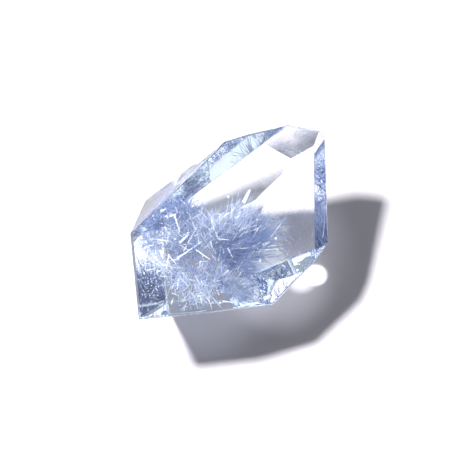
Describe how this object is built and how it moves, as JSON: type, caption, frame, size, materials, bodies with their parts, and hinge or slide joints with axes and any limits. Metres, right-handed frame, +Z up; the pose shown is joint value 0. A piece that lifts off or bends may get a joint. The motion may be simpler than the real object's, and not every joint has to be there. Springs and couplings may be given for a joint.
{
  "type": "dumortierite quartz",
  "caption": "Small polished stone of clear, pale blue quartz with flat facets and soft edges, holding sprays of fine blue dumortierite needles; it lies on a flat facet.",
  "frame": {"origin": "middle of the stone's box, on the surface that its resting facet lies on", "axes": "+Z up, +X to the right and -Y towards the viewer of the pictured side"},
  "size_m": [0.0148, 0.0148, 0.0086],
  "materials": {
    "clear_quartz": "polished, clear with a faint blue tint",
    "dumortierite": "silky blue needles, paler at their tips"
  },
  "bodies": {
    "root": {"quartz_upper": "clear_quartz", "quartz_lower": "clear_quartz", "needle_spray_main": "dumortierite", "needle_spray_left": "dumortierite", "needle_spray_lower": "dumortierite"}
  },
  "joints": []
}
